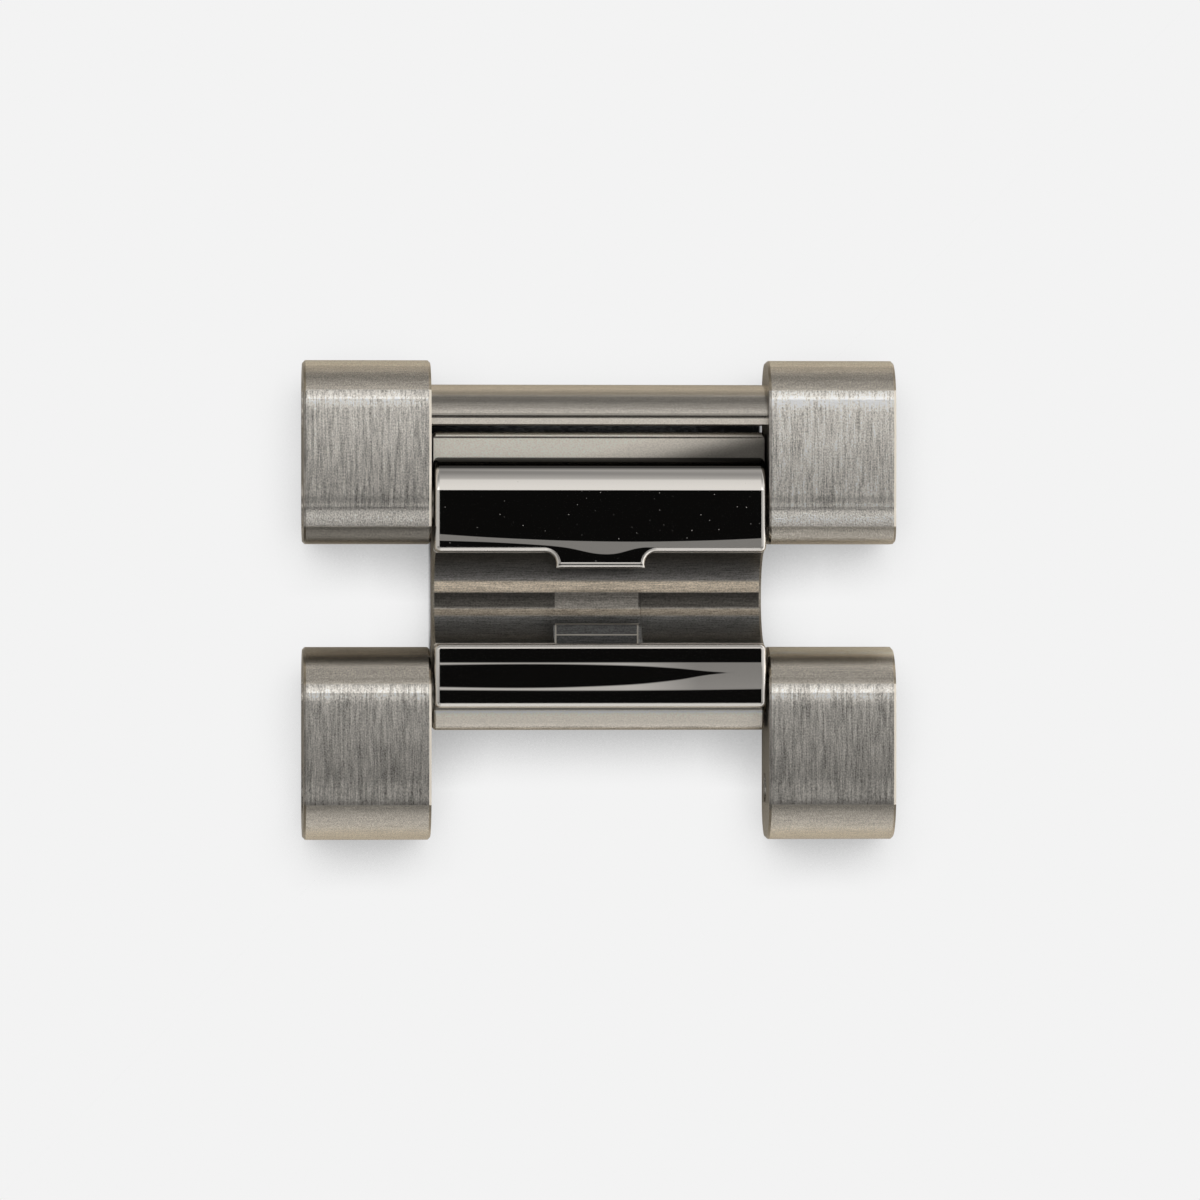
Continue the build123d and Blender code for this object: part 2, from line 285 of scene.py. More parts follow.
# %% Matt paper
paper_roughness = 0.5
camera_ray = add(paper, "LightPath").node.outputs["Is Camera Ray"]
from_behind = add(paper, "NewGeometry").node.outputs["Backfacing"]
film_shade = add(paper, "Mix", {"Factor": from_behind, "A": shade, "B": 1.0})
clear = add(paper, "Math", {0: camera_ray, 1: from_behind}, operation="MAXIMUM")
seen_paper = add(paper, "BsdfTransparent", {"Color": film_shade})
lit_paper = add(paper, "BsdfDiffuse", {"Color": paper_colour, "Roughness": paper_roughness})
sheet_surface = add(paper, "MixShader", {0: clear, 1: lit_paper, 2: seen_paper})
add(paper, "OutputMaterial", {"Surface": sheet_surface})
sheet_mesh.materials.append(sheet_material)
print("Nodes in the paper:", len(paper.nodes))

# %% [markdown]
# Each piece is stainless steel, a metal, so its colour is what it mirrors head on: a little over
# half of the light, faintly warm. Each finish starts alike, with the place on the piece in
# millimetres and the way its face turns. Both come from the piece itself and not from the room,
# so a finish stays on its piece when a row of links folds.

# %% The start of each steel finish
steel_colour = linear("#cfcac2")
nose_colour = linear("#d2cabd")
satin_colour = linear("#cfc8bd")
pale_colour = linear("#fbf3e6")
mirror_colour = linear("#e4dfd8")


def new_steel(name):
    """A material, its empty tree, the place in millimetres, that place split, and the normal."""
    material = bpy.data.materials.new(name)
    material.use_nodes = True
    tree = material.node_tree
    tree.nodes.clear()
    local = add(tree, "TexCoord").node.outputs
    place = add(tree, "VectorMath", {0: local["Object"], "Scale": 1 / mm}, operation="SCALE")
    spot = add(tree, "SeparateXYZ", {"Vector": place}).node.outputs
    return material, tree, place, spot, local["Normal"]


print("Steel mirrors this share of red light:", round(steel_colour[0], 2))

# %% [markdown]
# A belt of 240 grit leaves scratches about 0.02 mm wide. A pixel of the picture covers 0.034 mm,
# so single scratches can't show, and they are drawn 0.03 to 0.12 mm wide, as coarse as they need
# to be seen. They could be cut into the shape, at a cost of millions of faces. Noise drawn out
# along the grain gives their tone, and a little of their depth through a bump.

# %% Grinding marks
mark_detail = 2.0
mark_roughness = 0.55
mark_middle = 0.5


def scratches(tree, place, width, length, along_x, waver=0.0, crisp=0.5):
    """Grinding marks this wide and long, in millimetres, from 0 to 1."""
    sizes = (1 / length, 1 / width, 1 / width) if along_x else (1 / width, 1 / length, 1 / width)
    stretched = add(tree, "VectorMath", {0: place, 1: sizes}, operation="MULTIPLY")
    noise = add(
        tree,
        "TexNoise",
        {
            "Vector": stretched,
            "Scale": 1.0,
            "Detail": mark_detail,
            "Roughness": mark_roughness,
            "Distortion": waver,
        },
    )
    limits = {"From Min": mark_middle - crisp / 2, "From Max": mark_middle + crisp / 2}
    return add(tree, "MapRange", {"Value": noise, **limits})


def tone_along(tree, value, stops):
    """A grey that changes with a length in millimetres, by stops of a place and a tone."""
    low, high = stops[0][0], stops[-1][0]
    share = add(tree, "MapRange", {"Value": value, "From Min": low, "From Max": high})
    shares = [((place - low) / (high - low), grey(tone)) for place, tone in stops]
    return add(tree, "ValToRGB", {"Fac": share}, stops=shares)


print("Levels of detail in a mark:", mark_detail)

# %% [markdown]
# Parallel scratches mirror sharply along themselves and smear the light across, which is what
# makes brushed steel shimmer. The shader's anisotropy does that, once it is told which way the
# grain runs. Its tangent points along the smear, so it lies across the scratches.

# %% The steel surface
def steel_surface(tree, colour, roughness, anisotropy, lengthwise, height, depth):
    """The metal with marks of this depth, its grain lengthwise where that is 1, else across."""
    bump = add(tree, "Bump", {"Height": height, "Distance": depth, "Strength": 1.0})
    smear = {"Factor": lengthwise, "A": (0.0, 1.0, 0.0), "B": (1.0, 0.0, 0.0)}
    tangent = add(
        tree,
        "VectorTransform",
        {"Vector": add(tree, "Mix", smear, **of_vectors)},
        vector_type="VECTOR",
        convert_from="OBJECT",
        convert_to="WORLD",
    )
    surface = {
        "Base Color": colour,
        "Metallic": 1.0,
        "Roughness": roughness,
        "Anisotropic": anisotropy,
        "Tangent": tangent,
        "Normal": bump,
    }
    add(tree, "OutputMaterial", {"Surface": add(tree, "BsdfPrincipled", surface)})


mark_depth = 0.004 * mm
print("Depth of the marks in mm:", round(mark_depth / mm, 4))

# %% [markdown]
# The outer links are ground lengthwise on a belt. Over the crown and the rounded ends they mirror
# the tent in narrow bright and dark bands, finer than the solids carry, and the neighbouring links
# shade their ends. They could be shaped as tiny facets, but their tone is all that shows, so these
# highlights and shades are painted as stops along the bracelet, in millimetres from its middle.

# %% Painted light and shade along the outer links
upper_painted_light = [
    (2.65, 1.2), (2.76, 1.25), (2.9, 1.05), (3.0, 0.85), (3.05, 0.5), (3.1, 0.5), (3.15, 1.0),
    (3.23, 1.08), (3.28, 0.85), (3.4, 0.72), (3.6, 1.0), (6.3, 1.02), (6.46, 1.12), (6.6, 1.45),
    (6.75, 1.52), (6.9, 1.12), (7.05, 1.12), (7.08, 1.02), (7.35, 1.0), (7.5, 0.72),
    (7.64, 0.74), (7.7, 0.9), (7.85, 1.1), (7.92, 1.5), (8.1, 1.6),
]
upper_left_painted_light = [(1.9, 0.8), (2.05, 0.36), (2.43, 0.28), (2.5, 0.95), *upper_painted_light]
upper_right_painted_light = [(1.9, 1.3), (2.05, 0.82), (2.43, 0.7), (2.5, 0.95), *upper_painted_light]
lower_painted_light = [
    (-8.1, 1.5), (-7.9, 1.4), (-7.75, 1.2), (-7.6, 0.92), (-7.3, 0.72), (-7.15, 0.62),
    (-7.03, 0.5), (-6.92, 0.5), (-6.85, 0.75), (-6.76, 1.05), (-6.6, 1.25), (-6.25, 1.2),
    (-6.0, 1.0), (-3.6, 1.08), (-3.42, 1.35), (-3.34, 1.7), (-3.24, 2.05), (-3.1, 1.85),
    (-2.96, 1.6), (-2.84, 1.2), (-2.78, 0.84), (-2.66, 0.7), (-2.58, 0.95), (-2.45, 1.08),
    (-2.25, 1.32), (-2.16, 0.92),
]
lower_left_end_light = [(-2.09, 0.53), (-2.02, 0.33), (-1.95, 0.36), (-1.82, 0.92), (-1.7, 0.7)]
lower_right_end_light = [(-2.09, 0.57), (-2.02, 0.43), (-1.95, 0.6), (-1.8, 1.95), (-1.7, 1.6)]
lower_left_painted_light = [*lower_painted_light, *lower_left_end_light]
lower_right_painted_light = [*lower_painted_light, *lower_right_end_light]
print("Stops along the outer links:", len(upper_left_painted_light), "and", len(lower_left_painted_light))

# %% [markdown]
# The crown's marks are short, crooked and dark, with a fine sparkle between them. A single layer
# of noise looks combed, so broad marks, fine marks and the sparkle are mixed. The noses were held
# across the belt, and their marks run the other way.

# %% Marks of the outer links
broad_mark = {"width": 0.12, "length": 2.2, "waver": 0.4, "crisp": 0.25}
fine_mark = {"width": 0.05, "length": 0.6, "waver": 0.3, "crisp": 0.3}
sparkle_mark = {"width": 0.045, "length": 0.06, "crisp": 0.4}
nose_mark = {"width": 0.05, "length": 0.8, "crisp": 0.6}
fine_share = 0.5
nose_sparkle = 0.6
crown_sparkle = 0.45
roll_sparkle = 0.8


def outer_marks(tree, place, crown, roll):
    """The marks of an outer link: ground across on its noses and lengthwise on its crown."""
    broad = scratches(tree, place, along_x=False, **broad_mark)
    fine = scratches(tree, place, along_x=False, **fine_mark)
    sparkle = scratches(tree, place, along_x=False, **sparkle_mark)
    crosswise = scratches(tree, place, along_x=True, **nose_mark)
    nose_marks = add(tree, "Mix", {"Factor": nose_sparkle, "A": crosswise, "B": sparkle})
    lines = add(tree, "Mix", {"Factor": fine_share, "A": broad, "B": fine})
    crown_marks = add(tree, "Mix", {"Factor": crown_sparkle, "A": lines, "B": sparkle})
    roll_marks = add(tree, "Mix", {"Factor": roll_sparkle, "A": fine, "B": sparkle})
    ground_marks = add(tree, "Mix", {"Factor": roll, "A": crown_marks, "B": roll_marks})
    return add(tree, "Mix", {"Factor": crown, "A": nose_marks, "B": ground_marks})


print("Widths of the crown's marks in mm:", broad_mark["width"], "and", fine_mark["width"])

# %% [markdown]
# One piece carries four finishes: the lengthwise grind of the crown, satin noses ground across, a
# gritty roll where the crown ends, and long edges that were polished after the grind. Four
# materials with their own faces would end in hard lines, so one material tells them apart by
# place and by how a face turns.

# %% Where the outer links' finishes lie
edge_turn = (0.35, 0.93)
side_turn = 0.96
up_turn = 0.12
roll_width = 0.3
crown_blur = 0.06
roll_blur = 0.1
edge_blur = 0.2
side_blur = 0.04
up_blur = 0.2
left_blur = 0.3
bright_blur = 0.1


def outer_zones(tree, spot, normal, crown_low, crown_high, roll_end):
    """Each finish's zone, 1 inside and 0 outside, by place and by how a face turns."""
    facing = add(tree, "SeparateXYZ", {"Vector": normal}).node.outputs
    turned = add(tree, "Math", {0: facing["X"]}, operation="ABSOLUTE")
    crown = band(tree, spot["Y"], crown_low, crown_high, crown_blur)
    side = band(tree, turned, side_turn, far, side_blur)
    # The right-hand long edge of the crown gets a painted pale highlight, and edges turned left a
    # painted shade.
    right_edge = band(tree, facing["X"], *edge_turn, bright_blur)
    return {
        "crown": crown,
        "roll": band(tree, spot["Y"], crown_low - roll_width, roll_end, roll_blur),
        "edge": band(tree, turned, *edge_turn, edge_blur),
        "upward": band(tree, facing["Z"], up_turn, far, up_blur),
        "turned left": band(tree, facing["X"], -far, -edge_turn[0], left_blur),
        "brushed": add(tree, "Math", {0: crown, 1: side}, operation="SUBTRACT", use_clamp=True),
        "painted highlight edge": add(tree, "Math", {0: right_edge, 1: crown}, operation="MULTIPLY"),
    }


print("The roll where the crown ends is this wide in mm:", roll_width)

# %% [markdown]
# Each grind cuts to a depth of its own, so the marks are strong on the crown and weak on the noses.
# Side walls and edges turned left get a painted shade, darker than the sky alone would make them,
# and the long right-hand edge a painted pale highlight.

# %% Colour of the outer links
nose_contrast = (0.62, 1.33)
crown_contrast = (0.25, 1.75)
roll_contrast = (0.5, 1.5)
side_painted_shade = 0.85
left_painted_shade = 0.55


def outer_colour(tree, spot, zone, marks, crown_painted_light, tones):
    """The colour of an outer link: its marks, a painted brightness of the crown, the painted light
    and shade along the bracelet, and the painted shade and highlight of its edges.
    """
    limits = []
    for on_nose, on_crown, on_roll in zip(nose_contrast, crown_contrast, roll_contrast):
        ground = {"Factor": zone["roll"], "A": on_crown * crown_painted_light, "B": on_roll * crown_painted_light}
        limit = {"Factor": zone["brushed"], "A": on_nose, "B": add(tree, "Mix", ground)}
        limits.append(add(tree, "Mix", limit))
    contrast = add(tree, "Mix", {"Factor": marks, "A": limits[0], "B": limits[1]})
    bare = {"Factor": zone["crown"], "A": nose_colour, "B": steel_colour}
    colour = add(tree, "Mix", bare, **of_colours)
    painted_light_along = tone_along(tree, spot["Y"], tones)
    tone = {"Factor": zone["upward"], "A": grey(side_painted_shade), "B": painted_light_along}
    left_shade = add(tree, "Mix", {"Factor": zone["turned left"], "A": 1.0, "B": left_painted_shade})
    for shade in (contrast, add(tree, "Mix", tone, **of_colours), left_shade):
        colour = add(tree, "Mix", {"Factor": 1.0, "A": colour, "B": shade}, **multiplied)
    # A painted pale highlight on the right-hand long edge.
    bright = {"Factor": zone["painted highlight edge"], "A": colour, "B": pale_colour}
    return add(tree, "Mix", bright, **of_colours)


print("Tones of a side wall and of an edge turned left:", side_painted_shade, "and", left_painted_shade)

# %% [markdown]
# Brushed steel has a roughness of about 0.3, and the polished long edges are smoother. The four
# links share one recipe: only the places where the crown starts and ends, a painted brightness of
# each crown for the light that falls on it, and the painted light along the bracelet differ.

# %% Brushed outer links
nose_roughness = 0.27
crown_roughness = 0.33
edge_roughness = 0.09
bright_roughness = 0.5
brushed_anisotropy = 0.8


def brushed_outer_steel(name, crown_low, crown_high, roll_end, crown_painted_light, tones):
    """Outer link steel, ground lengthwise between two places, with a roll up to roll_end."""
    material, tree, place, spot, normal = new_steel(name)
    zone = outer_zones(tree, spot, normal, crown_low, crown_high, roll_end)
    crown, edge, bright = zone["crown"], zone["edge"], zone["painted highlight edge"]
    marks = outer_marks(tree, place, crown, zone["roll"])
    colour = outer_colour(tree, spot, zone, marks, crown_painted_light, tones)
    ground = add(tree, "Mix", {"Factor": crown, "A": nose_roughness, "B": crown_roughness})
    smooth = add(tree, "Mix", {"Factor": edge, "A": ground, "B": edge_roughness})
    rough = add(tree, "Mix", {"Factor": bright, "A": smooth, "B": bright_roughness})
    height = add(tree, "Mix", {"Factor": edge, "A": marks, "B": mark_middle})
    steel_surface(tree, colour, rough, brushed_anisotropy, crown, height, mark_depth)
    return material


upper_crown = (2.49, 7.07, 3.06)
lower_crown = (-6.9, -2.83, -6.9)
outer_finishes = {
    f"{place}_outer_link": brushed_outer_steel(f"brushed_steel_{place}", *crown, crown_painted_light, tones)
    for place, crown, crown_painted_light, tones in (
        ("upper_left", upper_crown, 1.07, upper_left_painted_light),
        ("upper_right", upper_crown, 1.28, upper_right_painted_light),
        ("lower_left", lower_crown, 0.77, lower_left_painted_light),
        ("lower_right", lower_crown, 0.77, lower_right_painted_light),
    )
}
print("Brushed outer links:", list(outer_finishes))

# %% [markdown]
# The polished bars are buffed to a mirror after all grinding. Buffing is never quite flat: it
# leans a part of the surface by about a degree, and there the mirror shows a strip of the tent
# instead of the dark card. The photograph shows the edges of these parts as curves across the
# bars. A shape that leans so little would be hard to model and to see, so each edge is a smooth
# line through a few points, in millimetres, and the normal leans between two of them.

# %% Lines across the polished bars
curve_reach = 8
line_blur = 0.05
upper_strip_top = [(-5.6, 2.24), (-3, 2.08), (0.3, 1.98), (3, 2.0), (5.6, 2.1)]
upper_strip_low = [
    (-5.6, 1.99), (-2.2, 1.85), (-1.3, 1.77), (0.25, 1.53), (1.5, 1.76), (2.4, 1.68), (5.6, 1.5),
]
lower_strip_top = [(-5.6, -2.1), (5.6, -2.1)]
lower_strip_low = [(-5.6, -3.03), (1, -3.05), (5.6, -3.0)]
wedge_top = [(-5.6, -2.19), (0.4, -2.2), (2.5, -2.3), (3.8, -2.42), (5.6, -2.5)]
wedge_low = [(-5.6, -2.92), (0.4, -2.88), (2.5, -2.7), (3.8, -2.5), (5.6, -2.4)]


def line_through(tree, x, points):
    """How far along the bracelet a smooth line through these points lies at x."""
    share = add(tree, "MapRange", {"Value": x, "From Min": -curve_reach, "From Max": curve_reach})
    height = add(tree, "FloatCurve", {"Value": share})
    curve = height.node.mapping.curves[0]
    shares = [[(v + curve_reach) / (2 * curve_reach) for v in point] for point in points]
    for dot, place in zip(curve.points, (shares[0], shares[-1])):
        dot.location = place
    for place in shares[1:-1]:
        curve.points.new(*place)
    height.node.mapping.update()
    return add(tree, "MapRange", {"Value": height, "To Min": -curve_reach, "To Max": curve_reach})


def between_lines(tree, spot, low_points, high_points):
    """1 between two drawn lines that cross the bracelet, and 0 outside."""
    low_line = line_through(tree, spot["X"], low_points)
    high_line = line_through(tree, spot["X"], high_points)
    sides = []
    for first, second in ((spot["Y"], low_line), (high_line, spot["Y"])):
        inside = add(tree, "Math", {0: first, 1: second}, operation="SUBTRACT")
        edge = {"Value": inside, "From Min": -line_blur / 2, "From Max": line_blur / 2}
        sides.append(add(tree, "MapRange", edge))
    return add(tree, "Math", {0: sides[0], 1: sides[1]}, operation="MULTIPLY")


print("Points of the upper bar's lines:", len(upper_strip_top), "and", len(upper_strip_low))

# %% [markdown]
# The upper bar ends in a tab over the seat, and the tab's front edge shows as two bright lines
# with a dark one between them: a lip that turns from the card to the tent. The lean of the
# strips and the turn of the lip are both small pushes of the normal along the bracelet. On the
# lower bar the lean eases off towards the right.

# %% How the polish leans
flat_turn = 0.998
bar_lean = 1.45
lower_right_lean = 1.15
lean_change = (0.8, 3.3)
lip_low = 1.225
lip_high = 1.265
lip_foot = 1.165
lip_half = 1.42
lip_lean = 12
lip_blur = 0.02
gap_blur = 0.015


def leaning_normal(tree, spot, normal, flat, lip, strip, wedge):
    """The normal, pushed along the bracelet in a strip, less a wedge of it, and on the lip."""
    leaning = between_lines(tree, spot, *strip)
    if wedge:
        inside = between_lines(tree, spot, *wedge)
        outside = add(tree, "Math", {0: 1.0, 1: inside}, operation="SUBTRACT")
        leaning = add(tree, "Math", {0: leaning, 1: outside}, operation="MULTIPLY")
    leaning = add(tree, "Math", {0: leaning, 1: flat}, operation="MULTIPLY")
    right_lean = lower_right_lean if wedge else bar_lean
    left_push, right_push, lip_push = (
        -math.sin(math.radians(lean)) for lean in (bar_lean, right_lean, lip_lean)
    )
    push = add(
        tree,
        "MapRange",
        {
            "Value": spot["X"],
            "From Min": lean_change[0],
            "From Max": lean_change[1],
            "To Min": left_push,
            "To Max": right_push,
        },
    )
    strip_push = add(tree, "Math", {0: leaning, 1: push}, operation="MULTIPLY")
    full_push = {0: lip, 1: lip_push, 2: strip_push}
    push = add(tree, "Math", full_push, operation="MULTIPLY_ADD")
    level = add(tree, "Mix", {"Factor": flat, "A": normal, "B": (0.0, 0.0, 1.0)}, **of_vectors)
    pushed = {0: level, 1: add(tree, "CombineXYZ", {"Y": push})}
    leaned = add(tree, "VectorMath", pushed, operation="ADD")
    return add(tree, "VectorMath", {0: leaned}, operation="NORMALIZE")


print("The polish leans by degrees:", bar_lean, "and the lip by", lip_lean)

# %% [markdown]
# Near its foot a bar mirrors the dark joint between it and the body, and below the tab's lip lies a
# dark gap. Both are too narrow for the light to be followed well, so a painted shade darkens the
# colour there. Specks of dust stand on the upper bar. Dust is about 0.03 mm across, and a few of
# the cells of a scattered pattern hold a speck.

# %% Painted shade at the joints, and dust on the polished bars
low_foot = {"From Min": 2.82, "From Max": 2.92, "To Min": 0.12, "To Max": 1.0}
back_foot = {"From Min": 4.37, "From Max": 4.46, "To Min": 1.0, "To Max": 0.09}
lip_gap_painted_shade = 0.2
dust_cells_per_mm = 6.5
dust_size = {"From Min": 0.06, "From Max": 0.13, "To Min": 1.0, "To Max": 0.0}
dust_luck = {"From Min": 0.7, "From Max": 1.0, "To Min": 0.0, "To Max": 0.5}


def joint_shade(tree, spot, lip_length):
    """Painted shade: dark at a bar's foot, at its back and in the gap below the tab's lip, and 1
    elsewhere.
    """
    low = add(tree, "MapRange", {"Value": spot["Z"], **low_foot})
    back = add(tree, "MapRange", {"Value": spot["Y"], **back_foot})
    foot = add(tree, "Math", {0: low, 1: back}, operation="MULTIPLY")
    gap = band(tree, spot["Y"], lip_foot, lip_low, gap_blur)
    gap = add(tree, "Math", {0: gap, 1: lip_length}, operation="MULTIPLY")
    gap_shade = add(tree, "Mix", {"Factor": gap, "A": 1.0, "B": lip_gap_painted_shade})
    return add(tree, "Math", {0: foot, 1: gap_shade}, operation="MULTIPLY")


def dust_specks(tree, place):
    """Specks in some of the cells of a scattered pattern, up to half as bright as they could be."""
    cells = add(tree, "TexVoronoi", {"Vector": place, "Scale": dust_cells_per_mm}).node.outputs
    near = add(tree, "MapRange", {"Value": cells["Distance"], **dust_size})
    luck = add(tree, "SeparateXYZ", {"Vector": cells["Color"]}).node.outputs["X"]
    bright = add(tree, "MapRange", {"Value": luck, **dust_luck})
    return add(tree, "Math", {0: near, 1: bright}, operation="MULTIPLY")


print("Cells for dust are this wide in mm:", round(1 / dust_cells_per_mm, 3))

# %% [markdown]
# A mirror polish is as smooth as steel gets, a roughness of about 0.03. The edges round the flat
# are softer, because a buffing wheel drags over them. The flats count as level, as their straight
# reflections in the photograph show, though the lower one is crowned by a few hundredths.

# %% Mirror-polished bars
mirror_roughness = 0.03
rim_roughness = 0.22
dust_roughness = 0.6
shoulder_turn = 0.03


def polished_steel(name, strip, wedge=None):
    """Steel buffed to a mirror, leaning in a strip but not in a wedge of it."""
    material, tree, place, spot, _ = new_steel(name)
    geometry = add(tree, "NewGeometry").node.outputs
    facing = add(tree, "SeparateXYZ", {"Vector": geometry["True Normal"]}).node.outputs
    flat = add(tree, "Math", {0: facing["Z"], 1: flat_turn}, operation="GREATER_THAN")
    beside = add(tree, "Math", {0: spot["X"]}, operation="ABSOLUTE")
    lip_length = band(tree, beside, -far, lip_half, lip_blur)
    lip = band(tree, spot["Y"], lip_low, lip_high, lip_blur)
    lip = add(tree, "Math", {0: lip, 1: lip_length}, operation="MULTIPLY")
    normal = leaning_normal(tree, spot, geometry["Normal"], flat, lip, strip, wedge)
    shade = joint_shade(tree, spot, lip_length)
    shaded = {"Factor": 1.0, "A": mirror_colour, "B": shade}
    surface = {
        "Base Color": add(tree, "Mix", shaded, **multiplied),
        "Metallic": 1.0,
        "Normal": normal,
    }
    if wedge:
        sharp = {"Factor": flat, "A": rim_roughness, "B": mirror_roughness}
        surface["Roughness"] = add(tree, "Mix", sharp)
    else:
        turned_back = {0: facing["Y"], 1: shoulder_turn}
        shoulder = add(tree, "Math", turned_back, operation="GREATER_THAN")
        smooth = add(tree, "Math", {0: flat, 1: shoulder}, operation="MAXIMUM")
        sharp = {"Factor": smooth, "A": rim_roughness, "B": mirror_roughness}
        dust = dust_specks(tree, place)
        dusty = {"Factor": dust, "A": add(tree, "Mix", sharp), "B": dust_roughness}
        surface["Roughness"] = add(tree, "Mix", dusty)
        surface["Metallic"] = add(tree, "Math", {0: 1.0, 1: dust}, operation="SUBTRACT")
    add(tree, "OutputMaterial", {"Surface": add(tree, "BsdfPrincipled", surface)})
    return material


upper_strip = (upper_strip_low, upper_strip_top)
lower_strip = (lower_strip_low, lower_strip_top)
upper_bar_steel = polished_steel("mirror_steel_upper_bar", upper_strip)
lower_bar_steel = polished_steel("mirror_steel_lower_bar", lower_strip, (wedge_low, wedge_top))
print("Polished bars:", upper_bar_steel.name, "and", lower_bar_steel.name)

# %% [markdown]
# The seat of the centre link is ground across, and its hollow mirrors the tent in bands of light
# and dark, painted as tones along the seat. A relief in its middle has painted reflection bands of
# its own. The cross bar has such painted bands too, and the ledges beside the polished bars have
# painted light and shade along them.

# %% Painted reflections along the centre link and the cross bar
seat_reflection_bands = [
    (-1.0, 0.53), (-0.58, 0.44), (-0.51, 0.58), (-0.3, 0.58), (-0.22, 0.14), (0.24, 0.14),
    (0.28, 1.12), (0.6, 1.12), (0.66, 0.46), (1.0, 0.44),
]
relief_reflection_bands = [
    (-1.5, 0.16), (-1.25, 0.2), (-1.18, 0.28), (-0.8, 0.3), (-0.76, 0.36), (-0.58, 0.38),
    (-0.51, 0.64), (-0.3, 0.64), (-0.22, 0.42), (0.24, 0.42), (0.28, 1.08), (0.6, 1.08),
    (0.66, 0.46), (1.0, 0.44),
]
cross_bar_reflection_tones = [
    (5.9, 1.0), (6.15, 1.0), (6.18, 0.5), (6.28, 0.6), (6.32, 1.0), (6.6, 1.0), (6.7, 0.65),
    (6.85, 0.5), (7.0, 0.8), (7.12, 1.45), (7.3, 1.5),
]
lower_ledge_painted_light = [
    (-4.4, 0.8), (-4.2, 0.9), (-3.85, 1.1), (-3.76, 1.4), (-3.73, 1.2), (-3.7, 0.5),
    (-3.62, 0.45), (-3.55, 1.0), (-3.4, 1.0),
]
print("Bands in the seat and its relief:", len(seat_reflection_bands), "and", len(relief_reflection_bands))

# %% [markdown]
# The pocket in the relief has pale edges, painted highlights where its rims catch the light. These
# lines are 0.04 mm wide, too thin to be worth faces of their own, so they are drawn by place.

# %% The pocket's edges
pocket_sides = (1.37, 1.42)
pocket_ends = (-1.5, -0.8)
pocket_lines = [(-0.84, -0.79), (-1.2, -1.16)]
thin_blur = 0.02


def pocket_painted_highlight(tree, spot, beside, relief):
    """1 on the thin edges of the pocket, where the painted highlight goes, and 0 elsewhere."""
    inside = band(tree, spot["Y"], *pocket_ends, thin_blur)
    sides = band(tree, beside, *pocket_sides, thin_blur)
    edge_highlight = add(tree, "Math", {0: inside, 1: sides}, operation="MULTIPLY")
    for low, high in pocket_lines:
        line = band(tree, spot["Y"], low, high, thin_blur)
        line = add(tree, "Math", {0: line, 1: relief}, operation="MULTIPLY")
        edge_highlight = add(tree, "Math", {0: edge_highlight, 1: line}, operation="MAXIMUM")
    return edge_highlight


print("Half the pocket's width in mm:", pocket_sides[1])

# %% [markdown]
# In the seat some bands mirror the warm bench and some the cool tent, so they get a faint painted
# tint of that reflection. Outside of the seat the body has a painted shade, least dark at its
# front.

# %% The seat
seat_limits = (-1.6, 1.75)
seat_half = 5.52
relief_half = 1.42
front_start = -4.15
front_painted_shade = 0.9
end_painted_shade = 0.5
reflection_tints = [
    (-0.51, -0.3, linear("#fff6ea")),
    (0.26, 0.63, linear("#fff6ea")),
    (-1.6, -0.56, linear("#eef5ff")),
    (0.68, 1.8, linear("#f2f6ff")),
]
relief_blur = 0.03
seat_blur = 0.06


def seat_painted_light(tree, spot, colour):
    """The ground steel of the body with the painted reflections of its seat, and a painted shade
    outside of it.
    """
    beside = add(tree, "Math", {0: spot["X"]}, operation="ABSOLUTE")
    relief = band(tree, beside, -far, relief_half, relief_blur)
    seat_reflections = tone_along(tree, spot["Y"], seat_reflection_bands)
    relief_reflections = tone_along(tree, spot["Y"], relief_reflection_bands)
    bands = {"Factor": relief, "A": seat_reflections, "B": relief_reflections}
    in_seat = band(tree, spot["Y"], *seat_limits, thin_blur)
    inward = band(tree, beside, -far, seat_half, seat_blur)
    seat = add(tree, "Math", {0: in_seat, 1: inward}, operation="MULTIPLY")
    front = band(tree, spot["Y"], -far, front_start, seat_blur)
    outside = add(tree, "Mix", {"Factor": front, "A": end_painted_shade, "B": front_painted_shade})
    tone = {"Factor": seat, "A": outside, "B": add(tree, "Mix", bands, **of_colours)}
    shaded = {"Factor": 1.0, "A": colour, "B": add(tree, "Mix", tone, **of_colours)}
    colour = add(tree, "Mix", shaded, **multiplied)
    for low, high, tint in reflection_tints:
        tinted = band(tree, spot["Y"], low, high, seat_blur)
        tinted = add(tree, "Math", {0: tinted, 1: seat}, operation="MULTIPLY")
        colour = add(tree, "Mix", {"Factor": tinted, "A": colour, "B": tint}, **multiplied)
    edge_highlight = pocket_painted_highlight(tree, spot, beside, relief)
    return add(tree, "Mix", {"Factor": edge_highlight, "A": colour, "B": satin_colour}, **of_colours)


print("Tinted bands in the seat:", len(reflection_tints))

# %% [markdown]
# The cross bar is ground across like the seat, and its round top mirrors the tent in bands of its
# own, painted as tones along it. Nothing else changes along it, so these painted reflections are
# laid over the ground steel and that is all.

# %% The cross bar
def cross_bar_painted_reflections(tree, spot, colour):
    """The ground steel of the cross bar with its painted reflection bands."""
    tone = tone_along(tree, spot["Y"], cross_bar_reflection_tones)
    return add(tree, "Mix", {"Factor": 1.0, "A": colour, "B": tone}, **multiplied)


print("Stops along the cross bar:", len(cross_bar_reflection_tones))

# %% [markdown]
# The ledges beside the polished bars are blasted: pale and even, without a grain. The ridge of the
# cross bar gets the same pale steel, there partly as a painted highlight. The lower ledge has
# painted light and shade along it, a bright line and a dark contact shadow at the foot of its bar.
# The upper ledge has a painted shade towards its right end, where the outer link beside it hides
# the light, in a slant that runs across it, so its tone goes by a mix of both directions.

